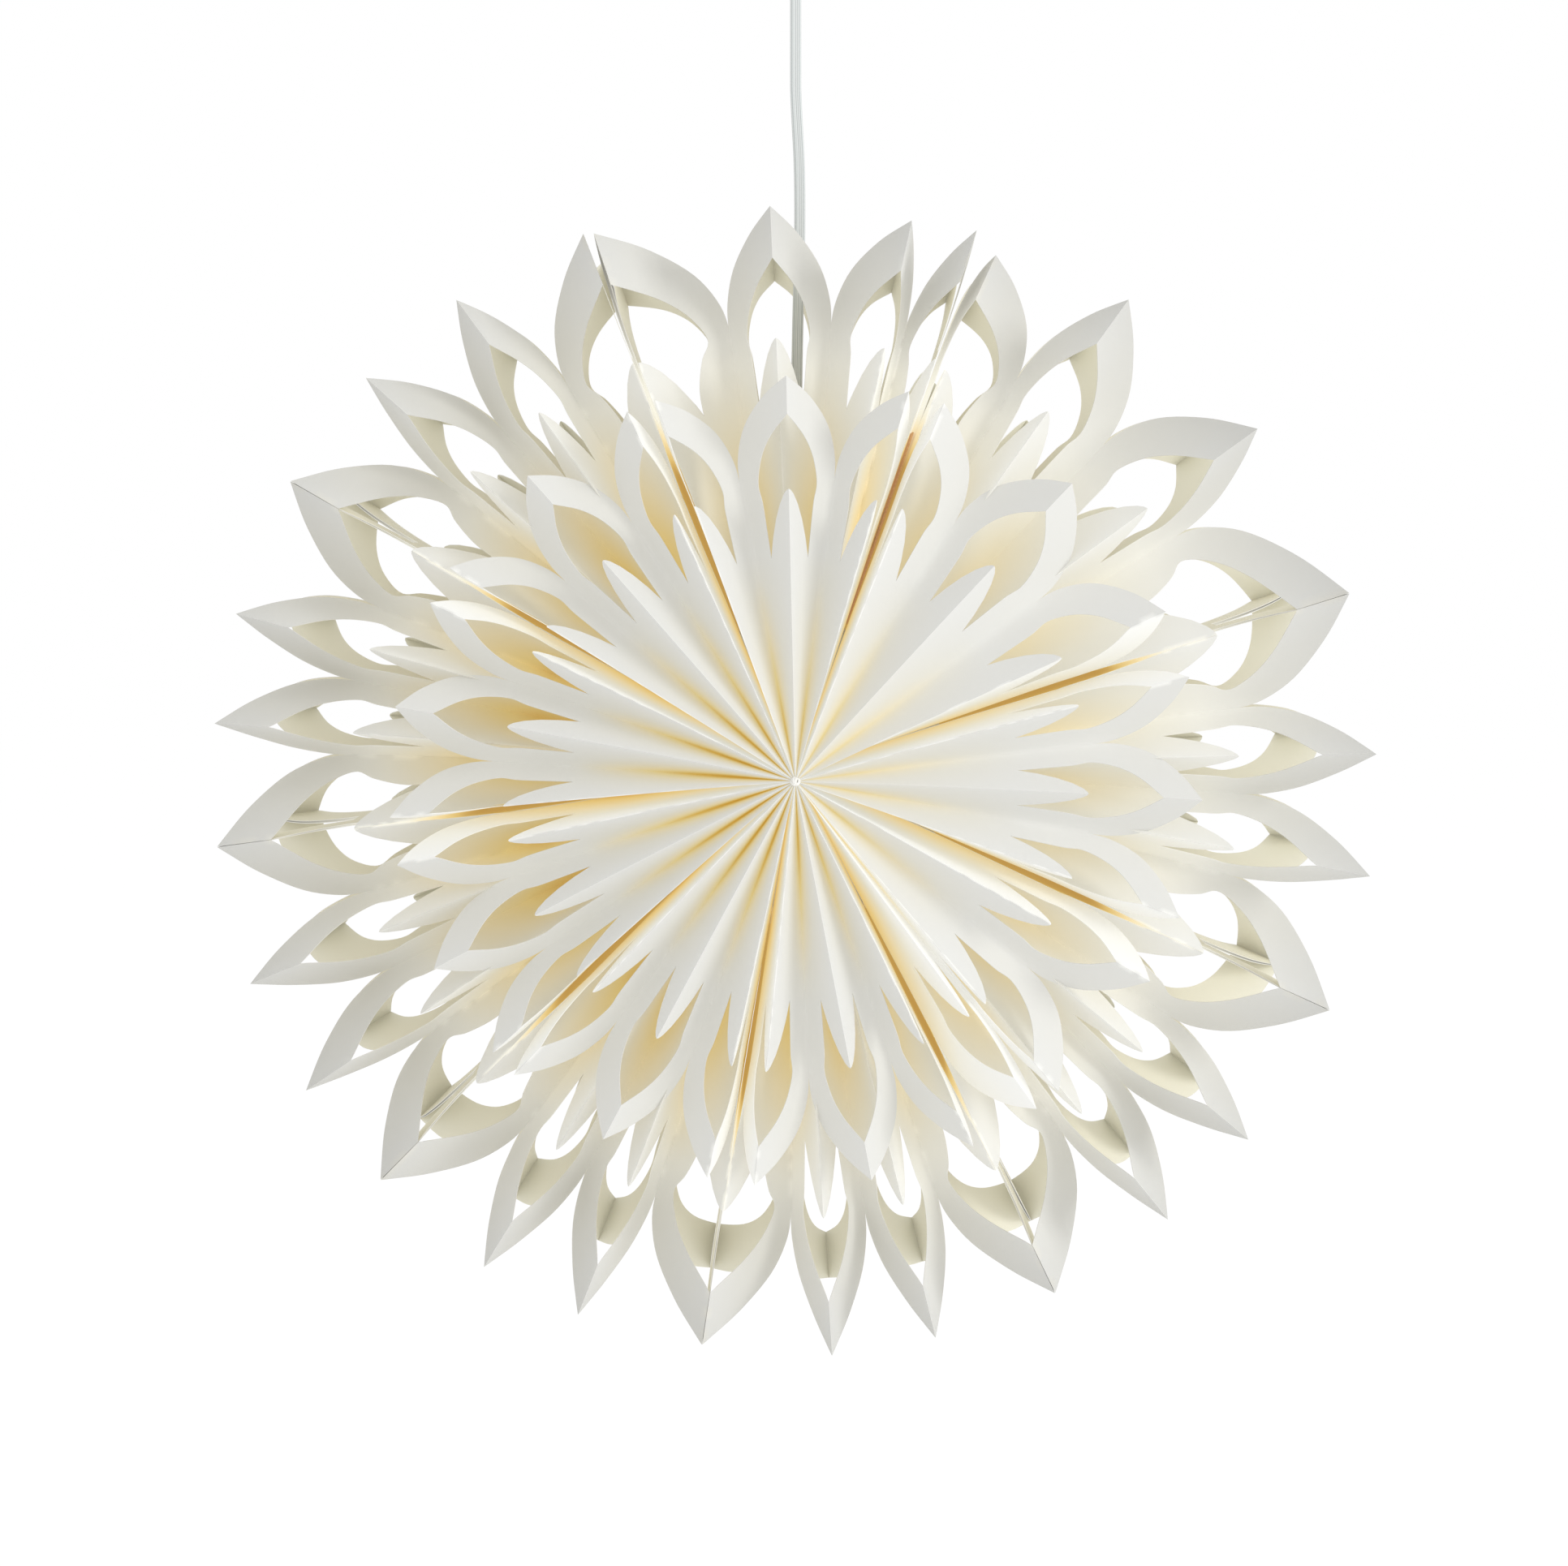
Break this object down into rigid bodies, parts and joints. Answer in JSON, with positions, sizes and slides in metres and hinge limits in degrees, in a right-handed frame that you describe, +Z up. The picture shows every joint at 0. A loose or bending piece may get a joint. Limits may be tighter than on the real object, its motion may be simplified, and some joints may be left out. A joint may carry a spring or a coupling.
{
  "type": "paper star pendant lamp",
  "caption": "Fan-folded white paper star lamp with die-cut petals and an inner rosette on both faces, hung on a clear cord from a ceiling hook under a small cup.",
  "frame": {"origin": "centre of the hook's shank where it meets the ceiling", "axes": "+Z up along the shank, the star faces -Y, +X to the viewer's right"},
  "size_m": [0.5979, 0.2272, 0.7974],
  "materials": {
    "star_paper": "white die-cut paper, matt, light shows through",
    "rosette_paper": "white die-cut paper, matt, light shows through",
    "kraft_card": "stiff brown card",
    "touch_close_hook": "white touch-close tape, hook side",
    "touch_close_loop": "white touch-close tape, loop side",
    "gathering_thread": "white cotton thread",
    "hook_steel": "white lacquered steel wire",
    "loop_steel": "zinc-plated steel wire",
    "grip_plastic": "white moulded nylon",
    "zinc_screw": "zinc-plated",
    "cup_plastic": "white moulded polypropylene",
    "grommet_rubber": "soft white",
    "clear_cord": "clear flat twin flex over tinned strands",
    "holder_plastic": "white moulded",
    "bar_steel": "white lacquered sheet steel",
    "ceramic": "unglazed steatite",
    "brass_thread": "rolled thread",
    "contact_brass": "sprung tongue",
    "terminal_steel": "nickel-plated",
    "ring_plastic": "white moulded, ribbed edge",
    "nickel_cap": "nickel-plated, rolled thread",
    "solder_tip": "solder over a black insulator",
    "bulb_plastic": "white moulded heat-sink body",
    "frosted_globe": "frosted, satin, lit from inside"
  },
  "bodies": {
    "ceiling_fixing": {"ceiling_hook": "hook_steel"},
    "pendant": {"hanging_loop": "loop_steel", "cord_grip": "grip_plastic", "grip_screw": "zinc_screw", "cord": "clear_cord", "holder_cap": "holder_plastic", "holder_shell": "holder_plastic", "support_bar": "bar_steel", "holder_insert": "ceramic", "screw_sleeve": "brass_thread", "centre_contact": "contact_brass", "terminal_screws": "terminal_steel", "star_bag_1": "star_paper", "star_bag_2": "star_paper", "star_bag_3": "star_paper", "star_bag_4": "star_paper", "star_bag_5": "star_paper", "star_bag_6": "star_paper", "star_bag_7": "star_paper", "star_bag_8": "star_paper", "star_bag_9": "star_paper", "front_rosette_1": "rosette_paper", "front_rosette_2": "rosette_paper", "front_rosette_3": "rosette_paper", "front_rosette_4": "rosette_paper", "front_rosette_5": "rosette_paper", "front_rosette_6": "rosette_paper", "front_rosette_7": "rosette_paper", "front_rosette_8": "rosette_paper", "front_rosette_9": "rosette_paper", "back_rosette_1": "rosette_paper", "back_rosette_2": "rosette_paper", "back_rosette_3": "rosette_paper", "back_rosette_4": "rosette_paper", "back_rosette_5": "rosette_paper", "back_rosette_6": "rosette_paper", "back_rosette_7": "rosette_paper", "back_rosette_8": "rosette_paper", "back_rosette_9": "rosette_paper", "end_card_first": "kraft_card", "end_card_last": "kraft_card", "hook_patches": "touch_close_hook", "loop_patches": "touch_close_loop", "centre_knots": "gathering_thread"},
    "cup": {"ceiling_cup": "cup_plastic", "cup_grommet": "grommet_rubber"},
    "shade_ring": {"shade_ring": "ring_plastic"},
    "bulb": {"bulb_screw_cap": "nickel_cap", "bulb_tip": "solder_tip", "bulb_base": "bulb_plastic", "bulb_globe": "frosted_globe"}
  },
  "joints": [
    {"name": "pendant_swing", "type": "hinge", "parent": "ceiling_fixing", "child": "pendant", "pos_m": [0, 0, -0.0184], "axis": [0, 1, 0], "range_deg": [-5, 5]},
    {"name": "ceiling_cup_slide", "type": "slide", "parent": "pendant", "child": "cup", "axis": [0, 0, -1], "range_m": [0, 0.06]},
    {"name": "shade_ring_travel", "type": "slide", "parent": "pendant", "child": "shade_ring", "axis": [0, 0, -1], "range_m": [0, 0.012]},
    {"name": "bulb_travel", "type": "slide", "parent": "pendant", "child": "bulb", "axis": [0, 0, -1], "range_m": [0, 0.022]}
  ]
}
